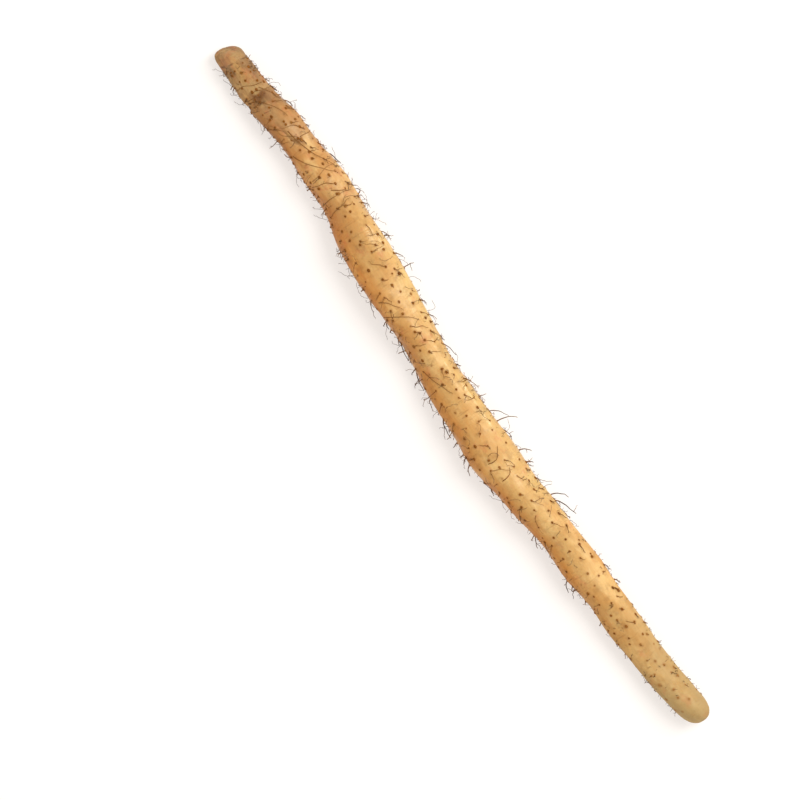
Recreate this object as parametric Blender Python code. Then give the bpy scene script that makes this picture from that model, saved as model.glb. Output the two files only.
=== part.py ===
"""A Chinese yam as it is dug and trimmed: one long tuber with a snapped crown, a round growing tip, corky
warts all over its skin, and the thin wiry rootlets that grow out of them. It lies on a flat surface.

Metres, +Z up, +X from the crown to the tip. The origin is the middle of its footprint, on the surface."""

import bmesh
import bpy
import numpy as np

LENGTH = 0.5595  # crown to growing tip
MIDDLE = (0.2787, -0.0019)  # the middle of the footprint, from the crown and beside the line of SWAY
MM = 0.001

# Read along the yam in millimetres from the crown: (place, value in millimetres).
WIDTH = [(0, 18.2), (7, 18.2), (22, 19.8), (40, 20.9), (47, 21.2), (60, 23.3), (84, 22.9), (107, 25.2),
         (128, 25.8), (155, 32.2), (180, 30.8), (206, 28.2), (240, 26.2), (274, 28.2), (301, 31.0),
         (328, 30.6), (356, 28.2), (390, 28.0), (424, 25.6), (478, 23.4), (519, 22.6), (543, 23.0),
         (560, 21.6)]
SWAY = [(0, 5.2), (22, 5.3), (43, 6.2), (60, 8.4), (84, 8.5), (128, 9.0), (155, 6.0), (180, 3.2),
        (206, 1.3), (240, -1.6), (274, -3.9), (301, -4.7), (328, -6.4), (356, -5.4), (390, -1.8),
        (424, 0.0), (478, 0.7), (519, 2.1), (539, 4.6), (560, 6.9)]
# Height of the underside. Below zero the yam is pressed flat against the surface: there it bears.
UNDERSIDE = [(0, 3.0), (40, 1.0), (78, -0.5), (120, 0.9), (190, 2.2), (260, 1.2), (320, -0.6), (370, 0.8),
             (440, 1.6), (480, 0.8), (515, -0.5), (545, 1.2), (560, 2.2)]

OVAL = 0.95  # height over width of the section
CROWN_END, CROWN_POWER = 6.5 * MM, 2.7  # how far back the crown's blunt end starts to round, and how squarely
TIP_END, TIP_POWER = 17.0 * MM, 2.35
CROWN_SLANT = (0.25, 0.44)  # how far the snapped end leans back, over its width and over its height
CROWN_REACH = 1.7 * MM  # how far the middle of the snapped end stands out past its place
SLANT_FADE = 11.0 * MM

SWELLINGS = 10  # slow waves of the skin, along and round the yam
SWELLING_HEIGHT = 0.34 * MM
SWELLING_LEAST = 0.6  # the lowest wave, as a share of that height
SWELLING_WAVE = (38 * MM, 150 * MM)
SWELLING_ORDERS = 4  # they wind round the yam up to one time fewer than this
CREASE_AT, CREASE_DEPTH, CREASE_WIDTH = 43.0 * MM, 1.3 * MM, 2.8 * MM  # the fold below the neck
CREASE_DRIFT = 3.0 * MM  # the fold runs this far along from its middle to either side
CREASE_FACES = -0.6  # the turn opposite to which the fold is deepest

WARTS = 680  # all the warts that the skin has; the solid carries a share of them, at true size
WARTS_THIN_OUT = 0.3  # how much closer than on average they stand at the crown, and wider at the tip
WART_BARE_CROWN, WART_BARE_TIP = 10 * MM, 14 * MM
WART_RADIUS = 1.15 * MM
WART_TOP_RADIUS = 0.55 * MM
WART_FOOT, WART_HEIGHT = 0.15 * MM, 0.65 * MM
WART_SIZE = (0.8, 1.3)  # the smallest and the largest, as shares of those sizes
GOLDEN_TURN = np.pi * (3 - np.sqrt(5))
STRAY = 3.4 * MM  # how far a wart strays from its even place
BARE_SHARE = 0.45  # warts whose rootlet has broken off
# The longest rootlet at each place. They are shorter towards the crown, and mere stubs at the young tip.
ROOTLET_LONGEST = [(0, 8), (50, 10), (95, 12), (180, 14), (260, 18), (385, 17), (430, 10), (480, 6.5),
                   (530, 4.5), (560, 3)]
ROOTLET_LEAST = 0.2  # the shortest, as a share of the longest
WORN_ON_TOP = 0.45  # how much shorter those on top have been worn than those at the sides
MOSTLY_SHORT = 2.0  # the power that makes most of them short and few long
STUB = 3.5 * MM  # what is shorter is left to the wart
ROOTLET_RADIUS, ROOTLET_TIP_RADIUS = 0.38 * MM, 0.24 * MM
LEAN_RIGHT, LEAN_LEFT = -0.65, 1.3  # which way they lean over, in radians from the tip: down on either side
LEAN_DIVIDE = -0.37  # cosine of the turn past which a rootlet leans down the -Y side
# Over this stretch the way they lean turns nearer to straight ahead, down to this share of its angle.
LEAN_AHEAD, LEAN_AHEAD_SHARE = (230 * MM, 380 * MM), 0.45
LEAN_SPREAD = 1.4
CURL = 0.9  # how far, in radians, the way it leans may drift along it
LAID_OVER = 0.6  # how much less those on top stand up than those at the sides
STRAIGHTEST = 0.95  # how nearly square to the skin the straightest one stands
LEAST_RISE = 0.15  # how far the flattest one lifts off the skin, as a share of its length
DROOP = 0.35  # how much less it rises towards its tip
LEAN_GROWTH = 1.4  # the power by which its lean grows along it
ROOT_SUNK = 1.6 * MM
ROOTLET_SHARES = np.array([0.3, 0.65, 1.0])  # where along its length a rootlet is bent
FLOOR_GAP = 0.7 * MM  # rootlets lie this far above the surface, at their centre
FLATTENED_BELOW = 3.5 * MM  # nothing stands on the skin that lies this close to the surface
TIP_CLEAR = 4 * MM  # rootlets keep this far from the very tip
ROOTLET_APART = 1.5 * MM
LIES_FLAT = 0.3  # a rootlet that stands up less than this share hugs the skin, and isn't in the solid
BARE_KEPT = 3  # of every ten bare warts, how many the solid carries

AROUND = 16  # faces round the yam
RING_GAP = 7.0 * MM
END_RINGS = 6
FOLD_RINGS = np.array([-6, -3, 0, 3, 6]) * MM
BLOCK_SIZE = (0.8, 0.2, 0.02)  # a piece of the surface that the yam lies on
SEED = 11

random = np.random.default_rng(SEED)
swelling_waves = random.random((SWELLINGS, 4))
wart_draws = random.random((WARTS, 9))


def along(stations, place):
    """A smooth curve through the stations: cubic pieces, each slope taken from the neighbouring stations."""
    at, value = np.array(stations, float).T * MM
    slope = np.gradient(value, at)
    i = np.clip(np.searchsorted(at, place) - 1, 0, len(at) - 2)
    gap = at[i + 1] - at[i]
    t = np.clip((place - at[i]) / gap, 0, 1)
    return ((2 * t**3 - 3 * t**2 + 1) * value[i] + (t**3 - 2 * t**2 + t) * gap * slope[i]
            + (3 * t**2 - 2 * t**3) * value[i + 1] + (t**3 - t**2) * gap * slope[i + 1])


def end_rounding(place):
    """Share of the full width that is left near the two ends: a superellipse at each."""
    from_crown = np.clip(1 - place / CROWN_END, 0, 1)
    from_tip = np.clip(1 - (LENGTH - place) / TIP_END, 0, 1)
    return ((1 - from_crown**CROWN_POWER) ** (1 / CROWN_POWER)
            * (1 - from_tip**TIP_POWER) ** (1 / TIP_POWER))


def swelling(place, turn):
    """The skin's slow lumps, and the crease under the neck, as height above the plain section."""
    height = np.zeros(np.broadcast(place, turn).shape)
    for i, (length, order, phase, share) in enumerate(swelling_waves):
        wave = SWELLING_WAVE[0] + length * (SWELLING_WAVE[1] - SWELLING_WAVE[0])
        height += (SWELLING_HEIGHT * (SWELLING_LEAST + share)
                   * np.sin(2 * np.pi * (place / wave + phase) + (i % SWELLING_ORDERS) * turn + 6 * order))
    fold = CREASE_AT + CREASE_DRIFT * np.cos(turn)
    facing = np.clip(0.5 - 0.8 * np.cos(turn - CREASE_FACES), 0, 1)
    return height - CREASE_DEPTH * facing * np.exp(-(((place - fold) / CREASE_WIDTH) ** 2))


def skin(place, turn):
    """Points of the skin, place metres from the crown and turned about the core. A turn of 0 faces +Y, and
    90 degrees is up."""
    place, turn = np.broadcast_arrays(np.asarray(place, float), np.asarray(turn, float))
    ends = end_rounding(place)
    radius = along(WIDTH, place) / 2
    bump = swelling(place, turn)
    across = (radius + bump) * ends * np.cos(turn)
    up = (radius * OVAL + bump) * ends * np.sin(turn)
    fade = np.exp(-((place / SLANT_FADE) ** 2))
    x = place - MIDDLE[0] + fade * (CROWN_SLANT[0] * across + CROWN_SLANT[1] * up - CROWN_REACH)
    y = along(SWAY, place) - MIDDLE[1] + across
    z = along(UNDERSIDE, place) + radius * OVAL + up
    return np.stack([x, y, z], -1)


def outward(place, turn):
    """The skin's outward direction, from two short steps along and round it."""
    step = 0.5 * MM
    lengthwise = skin(place + step, turn) - skin(place - step, turn)
    round_about = skin(place, turn + 0.02) - skin(place, turn - 0.02)
    normal = np.cross(round_about, lengthwise)
    return normal / np.linalg.norm(normal, axis=-1, keepdims=True)


def wart_places():
    """Where each wart sits: a spiral at the golden angle, from which every wart strays a little."""
    share = (np.arange(WARTS) + 0.5) / WARTS
    share = share - WARTS_THIN_OUT * share * (1 - share)
    place = WART_BARE_CROWN + share * (LENGTH - WART_BARE_CROWN - WART_BARE_TIP)
    place = place + STRAY * (2 * wart_draws[:, 0] - 1)
    girth = along(WIDTH, place) / 2
    turn = np.arange(WARTS) * GOLDEN_TURN + STRAY * (2 * wart_draws[:, 1] - 1) / girth
    return np.clip(place, WART_BARE_CROWN, LENGTH - WART_BARE_TIP), turn % (2 * np.pi)


def rootlet_length(place, turn, draw):
    longest = float(along(ROOTLET_LONGEST, place)) * (1 - WORN_ON_TOP * np.clip(np.sin(turn), 0, 1) ** 2)
    return longest * (ROOTLET_LEAST + (1 - ROOTLET_LEAST) * draw[3] ** MOSTLY_SHORT)


def rootlet_path(place, turn, draw, shares):
    """The line of one rootlet, at shares 0 to 1 of its length. It leaves the skin along its outward
    direction, leans over and down, and curls. What would go below the surface that the yam lies on is
    turned aside along it."""
    length = rootlet_length(place, turn, draw)
    stand = draw[4] * (1 - LAID_OVER * np.clip(np.sin(turn), 0, 1))
    lean = np.sqrt(1 - (STRAIGHTEST * stand) ** 2) * shares**LEAN_GROWTH
    bearing = LEAN_LEFT if np.cos(turn) < LEAN_DIVIDE else LEAN_RIGHT
    bearing = bearing * np.interp(place, LEAN_AHEAD, (1, LEAN_AHEAD_SHARE))
    bearing = bearing + LEAN_SPREAD * (2 * draw[5] - 1) ** 3 + CURL * (draw[6] - 0.5) * shares
    rise = length * (LEAST_RISE + (1 - LEAST_RISE) * stand) * shares * (1.15 - DROOP * shares)
    girth = float(along(WIDTH, place)) / 2
    here = np.clip(place + length * lean * np.cos(bearing), WART_BARE_CROWN, LENGTH - TIP_CLEAR)
    turned = turn + length * lean * np.sin(bearing) / (girth + rise)
    points = skin(here, turned) + outward(here, turned) * rise[:, None]
    below = np.clip(FLOOR_GAP - points[:, 2], 0, None)
    side = np.sign(np.cos(turn))
    points[:, 1] += side * below
    points[:, 2] += below
    return points


def grid_mesh(name, rings):
    """A closed skin over rings of points, whose first and last rings are single points."""
    count, around = rings.shape[0] - 2, rings.shape[1]
    points = np.concatenate([rings[0, :1], rings[1:-1].reshape(-1, 3), rings[-1, :1]])
    faces = []
    for j in range(around):
        k = (j + 1) % around
        faces.append((0, 1 + j, 1 + k))
        for i in range(count - 1):
            a = 1 + i * around
            faces.append((a + j, a + around + j, a + around + k, a + k))
        last = 1 + (count - 1) * around
        faces.append((len(points) - 1, last + k, last + j))
    mesh = bpy.data.meshes.new(name)
    mesh.from_pydata(points.tolist(), [], faces)
    mesh.validate()
    return mesh


def ring_places():
    """Places of the rings: crowded where the ends round off and at the crease."""
    round_off = 1 - np.cos(np.linspace(0, np.pi / 2, END_RINGS))
    crown = CROWN_END * round_off
    tip = LENGTH - TIP_END * round_off[::-1]
    body = np.linspace(crown[-1], tip[0], int((tip[0] - crown[-1]) / RING_GAP) + 1)[1:-1]
    fold = CREASE_AT + FOLD_RINGS
    clear = FOLD_RINGS[1] - FOLD_RINGS[0]
    body = body[(body < fold[0] - clear) | (body > fold[-1] + clear)]
    return np.sort(np.concatenate([crown, body, fold, tip]))


def clear_scene():
    for obj in list(bpy.data.objects):
        bpy.data.objects.remove(obj)
    for mesh in list(bpy.data.meshes):
        bpy.data.meshes.remove(mesh)


def finish(name, colour, roughness):
    material = bpy.data.materials.new(name)
    material.use_nodes = True
    shader = material.node_tree.nodes["Principled BSDF"]
    shader.inputs["Base Color"].default_value = (*colour, 1)
    shader.inputs["Roughness"].default_value = roughness
    material.diffuse_color = (*colour, 1)
    return material


def collection(name, hidden=False):
    made = bpy.data.collections.new(name)
    made.hide_render = hidden
    bpy.context.scene.collection.children.link(made)
    return made


def tuber(materials):
    """The tuber itself: a loft through its sections, closed at both ends."""
    places = ring_places()
    turns = np.arange(AROUND) * 2 * np.pi / AROUND
    mesh = grid_mesh("yam", skin(places[:, None], turns[None, :]))
    for material in materials:
        mesh.materials.append(material)
    return bpy.data.objects.new("yam", mesh)


def surface_block():
    """What the yam lies on. It cuts the bearing places flat."""
    bpy.ops.mesh.primitive_cube_add(size=1, location=(0, 0, -BLOCK_SIZE[2] / 2), scale=BLOCK_SIZE)
    block = bpy.context.object
    bpy.ops.object.transform_apply(location=False, scale=True)
    block.name = "surface"
    return block


def rootlet_section():
    """The three-sided section that every rootlet is swept with."""
    curve = bpy.data.curves.new("rootlet_section", "CURVE")
    spline = curve.splines.new("POLY")
    spline.points.add(2)
    for i, point in enumerate(spline.points):
        angle = -2 * np.pi * i / 3
        point.co = (np.cos(angle), np.sin(angle), 0, 1)
    spline.use_cyclic_u = True
    return bpy.data.objects.new("rootlet_section", curve)


def add_spline(curve, points, radii):
    spline = curve.splines.new("POLY")
    spline.points.add(len(points) - 1)
    for point, place, radius in zip(spline.points, points, radii):
        point.co = (*place, 1)
        point.radius = radius


def chosen_warts():
    """Place, turn and draw of the warts that the solid carries, and whether each has a rootlet."""
    places, turns = wart_places()
    foot = skin(places, turns)
    chosen = []
    for k in range(WARTS):
        draw = wart_draws[k]
        bare = draw[2] < BARE_SHARE or rootlet_length(places[k], turns[k], draw) < STUB
        kept = k % 10 < BARE_KEPT if bare else draw[4] >= LIES_FLAT
        if kept and foot[k, 2] >= FLATTENED_BELOW:
            chosen.append((places[k], turns[k], draw, not bare))
    return chosen


def growths(section, material):
    """Warts, and warts drawn out into rootlets, as tapered tubes whose roots are sunk in the tuber."""
    curve = bpy.data.curves.new("growths", "CURVE")
    curve.dimensions = "3D"
    curve.bevel_mode = "OBJECT"
    curve.bevel_object = section
    curve.use_fill_caps = True
    taken = []
    for place, turn, draw, has_rootlet in chosen_warts():
        foot, normal = skin(place, turn), outward(place, turn)
        size = WART_SIZE[0] + (WART_SIZE[1] - WART_SIZE[0]) * draw[7]
        points = [foot - ROOT_SUNK * normal, foot + WART_FOOT * normal, foot + WART_HEIGHT * size * normal]
        radii = [WART_RADIUS * size, WART_RADIUS * size, WART_TOP_RADIUS * size]
        if has_rootlet:
            points += list(rootlet_path(place, turn, draw, ROOTLET_SHARES))
            radii += np.linspace(ROOTLET_RADIUS, ROOTLET_TIP_RADIUS, len(ROOTLET_SHARES)).tolist()
        line = np.array(points)
        steps = np.linspace(0, len(line) - 1, 4 * len(line))
        trace = np.stack([np.interp(steps, np.arange(len(line)), line[:, a]) for a in range(3)], -1)
        gaps = [np.linalg.norm(trace[:, None] - other[None], axis=-1).min() for other in taken]
        if min(gaps, default=ROOTLET_APART) >= ROOTLET_APART:
            taken.append(trace)
            add_spline(curve, line, radii)
    swept = bpy.data.objects.new("growths_curve", curve)
    bpy.context.scene.collection.objects.link(swept)
    graph = bpy.context.evaluated_depsgraph_get()
    mesh = bpy.data.meshes.new_from_object(swept.evaluated_get(graph))
    bpy.data.objects.remove(swept)
    weld(mesh)
    mesh.materials.clear()
    mesh.materials.append(material)
    return bpy.data.objects.new("growths", mesh)


def weld(mesh):
    """Joins a tube's loose caps to its wall, and turns its faces out."""
    edit = bmesh.new()
    edit.from_mesh(mesh)
    bmesh.ops.remove_doubles(edit, verts=edit.verts, dist=1e-6)
    bmesh.ops.recalc_face_normals(edit, faces=edit.faces)
    edit.to_mesh(mesh)
    edit.free()


def join(obj, operation, **operand):
    modifier = obj.modifiers.new(operation.lower(), "BOOLEAN")
    modifier.operation = operation
    modifier.solver = "EXACT"
    modifier.material_mode = "TRANSFER"
    for key, value in operand.items():
        setattr(modifier, key, value)


def build():
    clear_scene()
    root_skin = finish("yam_skin", (0.62, 0.37, 0.14), 0.6)
    wiry = finish("rootlet", (0.16, 0.08, 0.03), 0.75)
    home = collection("chinese_yam")
    cutters = collection("cutters", hidden=True)
    repeats = collection("repeats", hidden=True)
    section = rootlet_section()
    cutters.objects.link(section)
    yam = tuber([root_skin, wiry])
    home.objects.link(yam)
    block = surface_block()
    for owner in block.users_collection:
        owner.objects.unlink(block)
    cutters.objects.link(block)
    repeats.objects.link(growths(section, wiry))
    join(yam, "DIFFERENCE", object=block)
    join(yam, "UNION", operand_type="COLLECTION", collection=repeats)
    graph = bpy.context.evaluated_depsgraph_get()
    solid = bpy.data.meshes.new_from_object(yam.evaluated_get(graph))
    yam.modifiers.clear()
    yam.data = solid
    for obj in list(repeats.objects) + list(cutters.objects):
        bpy.data.objects.remove(obj)
    solid.shade_smooth()
    solid.set_sharp_from_angle(angle=np.radians(60))


build()
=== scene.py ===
"""A Chinese yam on a pale floor, seen from straight above: the tuber with its skin, the corky warts on it,
the wiry rootlets that grow out of the warts with their side roots, long strands that have fallen over, fine
hairs, and the stubs of broken roots.

Metres, in the frame of the solid part: +X from the crown to the growing tip, +Z up, the floor at 0."""

import bpy
import numpy as np
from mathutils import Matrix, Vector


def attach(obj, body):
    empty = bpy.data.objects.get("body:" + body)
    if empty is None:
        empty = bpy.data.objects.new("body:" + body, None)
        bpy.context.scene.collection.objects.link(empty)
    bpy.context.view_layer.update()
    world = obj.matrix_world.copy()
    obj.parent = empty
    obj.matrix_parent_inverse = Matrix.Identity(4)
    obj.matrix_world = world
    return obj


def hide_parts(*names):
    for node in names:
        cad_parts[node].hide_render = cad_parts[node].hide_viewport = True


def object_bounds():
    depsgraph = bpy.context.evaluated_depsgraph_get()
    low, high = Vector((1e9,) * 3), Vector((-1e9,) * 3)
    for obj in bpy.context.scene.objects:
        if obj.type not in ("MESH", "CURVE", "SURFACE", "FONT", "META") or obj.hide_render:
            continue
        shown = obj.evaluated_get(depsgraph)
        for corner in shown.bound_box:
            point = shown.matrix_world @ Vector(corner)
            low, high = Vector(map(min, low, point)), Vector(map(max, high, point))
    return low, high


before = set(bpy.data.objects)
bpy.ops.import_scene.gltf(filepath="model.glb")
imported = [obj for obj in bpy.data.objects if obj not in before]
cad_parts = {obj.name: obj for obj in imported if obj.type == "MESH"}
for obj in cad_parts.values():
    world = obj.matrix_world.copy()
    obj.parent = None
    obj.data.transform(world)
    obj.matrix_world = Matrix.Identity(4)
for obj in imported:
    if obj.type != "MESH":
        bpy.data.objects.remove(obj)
cad_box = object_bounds()


# The camera hangs over the yam and looks straight down, turned so that the crown is at the top left and the
# tip at the bottom right. A large soft light hangs high on the +Y side and a smaller one low, for the sheen.
# A warm sky fills the shade, and the floor is a sheet lit faintly from below, as on a light table.

VIEW_WIDTH = 0.544  # what the picture takes in at the height of the yam
VIEW_CENTRE = (-0.0167, -0.0339)
VIEW_TURN = np.radians(54.7)
CAMERA_HEIGHT = 3.0
YAM_HEIGHT = 0.016
FLOOR_REACH = 4.0

camera = bpy.data.objects.new("camera", bpy.data.cameras.new("camera"))
camera.location = (*VIEW_CENTRE, CAMERA_HEIGHT)
camera.rotation_euler = (0, 0, VIEW_TURN)
camera.data.lens = camera.data.sensor_width * (CAMERA_HEIGHT - YAM_HEIGHT) / VIEW_WIDTH
bpy.context.scene.collection.objects.link(camera)
bpy.context.scene.camera = camera
bpy.context.scene.view_settings.view_transform = "Standard"


def soft_light(name, place, size, power, colour):
    """A square lamp at place that faces the middle of the yam."""
    lamp = bpy.data.objects.new(name, bpy.data.lights.new(name, "AREA"))
    lamp.data.size = size
    lamp.data.energy = power
    lamp.data.color = colour
    lamp.location = place
    lamp.rotation_euler = lamp.location.to_track_quat("Z", "Y").to_euler()
    bpy.context.scene.collection.objects.link(lamp)


soft_light("window", place=(0.12, 1.0, 1.5), size=0.9, power=23, colour=(1, 0.985, 0.95))
soft_light("low_window", place=(0.05, 1.9, 0.66), size=0.4, power=15, colour=(1, 0.985, 0.92))

sky = bpy.data.worlds.new("sky")
sky.use_nodes = True
sky.node_tree.nodes["Background"].inputs["Color"].default_value = (1, 0.91, 0.80, 1)
sky.node_tree.nodes["Background"].inputs["Strength"].default_value = 1.14
bpy.context.scene.world = sky

floor_mesh = bpy.data.meshes.new("floor")
corners = [(x * FLOOR_REACH, y * FLOOR_REACH, 0) for x, y in ((-1, -1), (1, -1), (1, 1), (-1, 1))]
floor_mesh.from_pydata(corners, [], [(0, 1, 2, 3)])
floor = bpy.data.objects.new("floor", floor_mesh)
bpy.context.scene.collection.objects.link(floor)
floor_paper = bpy.data.materials.new("floor_paper")
floor_paper.use_nodes = True
floor_shader = floor_paper.node_tree.nodes["Principled BSDF"]
floor_shader.inputs["Base Color"].default_value = (0.35, 0.345, 0.35, 1)
floor_shader.inputs["Roughness"].default_value = 0.9
floor_shader.inputs["Emission Color"].default_value = (1, 0.98, 0.97, 1)
floor_shader.inputs["Emission Strength"].default_value = 0.54
floor_mesh.materials.append(floor_paper)


# The tuber is starchy flesh under a thin brown skin that is never peeled off in one piece. It grows straight
# down, so its section is nearly round, its skin is drawn lengthwise, and stones in the soil leave slow lumps.
# The sheet of skin is one closed surface over place (from the crown) and turn (round the core, 0 on +Y).

MM = 0.001
LENGTH = 0.5595
# The middle of the footprint: how far from the crown, and how far beside the line that SWAY is from.
MIDDLE = (0.2787, -0.0019)
# Stations in millimetres from the crown, each with the width there, then with how far the core sways to +Y,
# then with the height of the underside, which is pressed flat on the floor where it would go below 0.
WIDTH = [(0, 18.2), (7, 18.2), (22, 19.8), (40, 20.9), (47, 21.2), (60, 23.3), (84, 22.9), (107, 25.2),
         (128, 25.8), (155, 32.2), (180, 30.8), (206, 28.2), (240, 26.2), (274, 28.2), (301, 31.0),
         (328, 30.6), (356, 28.2), (390, 28.0), (424, 25.6), (478, 23.4), (519, 22.6), (543, 23.0),
         (560, 21.6)]
SWAY = [(0, 5.2), (22, 5.3), (43, 6.2), (60, 8.4), (84, 8.5), (128, 9.0), (155, 6.0), (180, 3.2),
        (206, 1.3), (240, -1.6), (274, -3.9), (301, -4.7), (328, -6.4), (356, -5.4), (390, -1.8),
        (424, 0.0), (478, 0.7), (519, 2.1), (539, 4.6), (560, 6.9)]
UNDERSIDE = [(0, 3.0), (40, 1.0), (78, -0.5), (120, 0.9), (190, 2.2), (260, 1.2), (320, -0.6), (370, 0.8),
             (440, 1.6), (480, 0.8), (515, -0.5), (545, 1.2), (560, 2.2)]
OVAL = 0.95  # height of the section, as a share of its width
CROWN_END, CROWN_POWER = 6.5 * MM, 2.7  # how far back the end starts to round, and how squarely
TIP_END, TIP_POWER = 17.0 * MM, 2.35
CROWN_SLANT = (0.25, 0.44)  # how far the snapped end leans back, per metre across and per metre up
CROWN_REACH = 1.7 * MM  # how far the middle of the snapped end stands out past its place
SLANT_FADE = 11.0 * MM
SWELLINGS, SWELLING_HEIGHT, SWELLING_WAVE = 10, 0.34 * MM, (38 * MM, 150 * MM)
SWELLING_LEAST, SWELLING_ORDERS = 0.6, 4
CREASE_AT, CREASE_DEPTH, CREASE_WIDTH, CREASE_DRIFT = 43.0 * MM, 1.3 * MM, 2.8 * MM, 3.0 * MM
CREASE_FACES = -0.6  # the turn opposite to which the fold is deepest
WARTS = 680
WARTS_THIN_OUT = 0.3  # how much closer than on average they stand at the crown, and wider at the tip
WART_BARE_CROWN, WART_BARE_TIP = 10 * MM, 14 * MM
GOLDEN_TURN = np.pi * (3 - np.sqrt(5))
STRAY = 3.4 * MM
SEED = 11

growth = np.random.default_rng(SEED)
swelling_waves = growth.random((SWELLINGS, 4))
wart_draws = growth.random((WARTS, 9))
weather = np.random.default_rng(SEED + 1)  # for what only the skin shows


def along(stations, place):
    """A smooth curve through the stations: cubic pieces, each slope taken from the neighbouring stations."""
    at, value = np.array(stations, float).T * MM
    slope = np.gradient(value, at)
    i = np.clip(np.searchsorted(at, place) - 1, 0, len(at) - 2)
    gap = at[i + 1] - at[i]
    t = np.clip((place - at[i]) / gap, 0, 1)
    return ((2 * t**3 - 3 * t**2 + 1) * value[i] + (t**3 - 2 * t**2 + t) * gap * slope[i]
            + (3 * t**2 - 2 * t**3) * value[i + 1] + (t**3 - t**2) * gap * slope[i + 1])


def end_rounding(place):
    """Share of the full width left near the ends: (1 - q^p)^(1/p), q being how far into the end it is."""
    from_crown = np.clip(1 - place / CROWN_END, 0, 1)
    from_tip = np.clip(1 - (LENGTH - place) / TIP_END, 0, 1)
    return ((1 - from_crown**CROWN_POWER) ** (1 / CROWN_POWER)
            * (1 - from_tip**TIP_POWER) ** (1 / TIP_POWER))


def spread(sizes, draws, power=1):
    """Sizes from the first to the second of a pair. The higher the power, the more are near the first."""
    return sizes[0] + (sizes[1] - sizes[0]) * draws**power


def fold_line(turn):
    """Where the fold below the neck runs, and how deep it is on each side: 0.5 less 0.8 times a cosine."""
    return CREASE_AT + CREASE_DRIFT * np.cos(turn), np.clip(0.5 - 0.8 * np.cos(turn - CREASE_FACES), 0, 1)


def swelling(place, turn):
    """Slow lumps as a sum of sine waves that wind round the yam, less a bell-shaped trough at the fold."""
    height = np.zeros(np.broadcast(place, turn).shape)
    for i, (length, start, phase, share) in enumerate(swelling_waves):
        angle = 2 * np.pi * (place / spread(SWELLING_WAVE, length) + phase)
        height += (SWELLING_HEIGHT * (SWELLING_LEAST + share)
                   * np.sin(angle + (i % SWELLING_ORDERS) * turn + 6 * start))
    fold, facing = fold_line(turn)
    return height - CREASE_DEPTH * facing * np.exp(-(((place - fold) / CREASE_WIDTH) ** 2))


def skin(place, turn):
    """A point of the skin: an oval section across the core, at the width, sway and underside that the
    stations give for its place, plus the swelling. The crown's end leans back."""
    place, turn = np.broadcast_arrays(np.asarray(place, float), np.asarray(turn, float))
    ends = end_rounding(place)
    radius = along(WIDTH, place) / 2
    bump = swelling(place, turn)
    across = (radius + bump) * ends * np.cos(turn)
    up = (radius * OVAL + bump) * ends * np.sin(turn)
    fade = np.exp(-((place / SLANT_FADE) ** 2))
    x = place - MIDDLE[0] + fade * (CROWN_SLANT[0] * across + CROWN_SLANT[1] * up - CROWN_REACH)
    y = along(SWAY, place) - MIDDLE[1] + across
    z = along(UNDERSIDE, place) + radius * OVAL + up
    return np.stack([x, y, z], -1)


def outward(place, turn):
    """The skin's outward direction: the cross product of two short steps, round it and along it."""
    step, small_turn = 0.5 * MM, 0.02
    lengthwise = skin(place + step, turn) - skin(place - step, turn)
    round_about = skin(place, turn + small_turn) - skin(place, turn - small_turn)
    normal = np.cross(round_about, lengthwise)
    return normal / np.linalg.norm(normal, axis=-1, keepdims=True)


def wart_places():
    """Where each wart sits: a spiral at the golden angle, from which every wart strays a little."""
    share = (np.arange(WARTS) + 0.5) / WARTS
    share = share - WARTS_THIN_OUT * share * (1 - share)
    place = WART_BARE_CROWN + share * (LENGTH - WART_BARE_CROWN - WART_BARE_TIP)
    place = place + STRAY * (2 * wart_draws[:, 0] - 1)
    girth = along(WIDTH, place) / 2
    turn = np.arange(WARTS) * GOLDEN_TURN + STRAY * (2 * wart_draws[:, 1] - 1) / girth
    return np.clip(place, WART_BARE_CROWN, LENGTH - WART_BARE_TIP), turn % (2 * np.pi)


def uneven(place, turn, step, columns):
    """Random heights from -1 to 1 at the crossings of a lattice laid over the skin, step metres apart along
    it and columns round it, joined by smooth slopes: t^2 (3 - 2 t) of the way from each to the next."""
    rows = int(LENGTH / step) + 3
    heights = 2 * weather.random((rows, columns)) - 1
    row, column = place / step, turn / (2 * np.pi) * columns
    i, j = np.floor(row).astype(int), np.floor(column).astype(int)
    down, over = row - i, column - j
    down, over = down**2 * (3 - 2 * down), over**2 * (3 - 2 * over)
    i, j, k = np.clip(i, 0, rows - 2), j % columns, (j + 1) % columns
    return ((heights[i, j] * (1 - over) + heights[i, k] * over) * (1 - down)
            + (heights[i + 1, j] * (1 - over) + heights[i + 1, k] * over) * down)


def furrow(distance, width):
    """A narrow groove, 1 in its middle and 0 well away from it: a bell curve of the distance."""
    return np.exp(-((distance / width) ** 2))


def rising(value, start, end):
    """0 at start and before it, 1 at end and beyond it, and a straight slope between them."""
    return np.clip((value - start) / (end - start), 0, 1)


SKIN_AROUND = 128
SKIN_RING_GAP = 0.785 * MM
CROWN_RINGS, TIP_RINGS = 26, 38


def skin_places():
    """Places of the rings, about as far apart over the rounded ends as they are along the body."""
    crown = CROWN_END * (1 - np.cos(np.linspace(0, np.pi / 2, CROWN_RINGS)) ** (2 / CROWN_POWER))
    tip = LENGTH - TIP_END * (1 - np.cos(np.linspace(np.pi / 2, 0, TIP_RINGS)) ** (2 / TIP_POWER))
    count = int((tip[0] - crown[-1]) / SKIN_RING_GAP)
    return np.concatenate([crown, np.linspace(crown[-1], tip[0], count)[1:-1], tip])


HALO_REACH = (1.1 * MM, 2.0 * MM)  # of the raised brown skin round a wart
HALO_ROWS, HALO_COLUMNS = 7, 9  # the window of grid points on either side that it can reach


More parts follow.
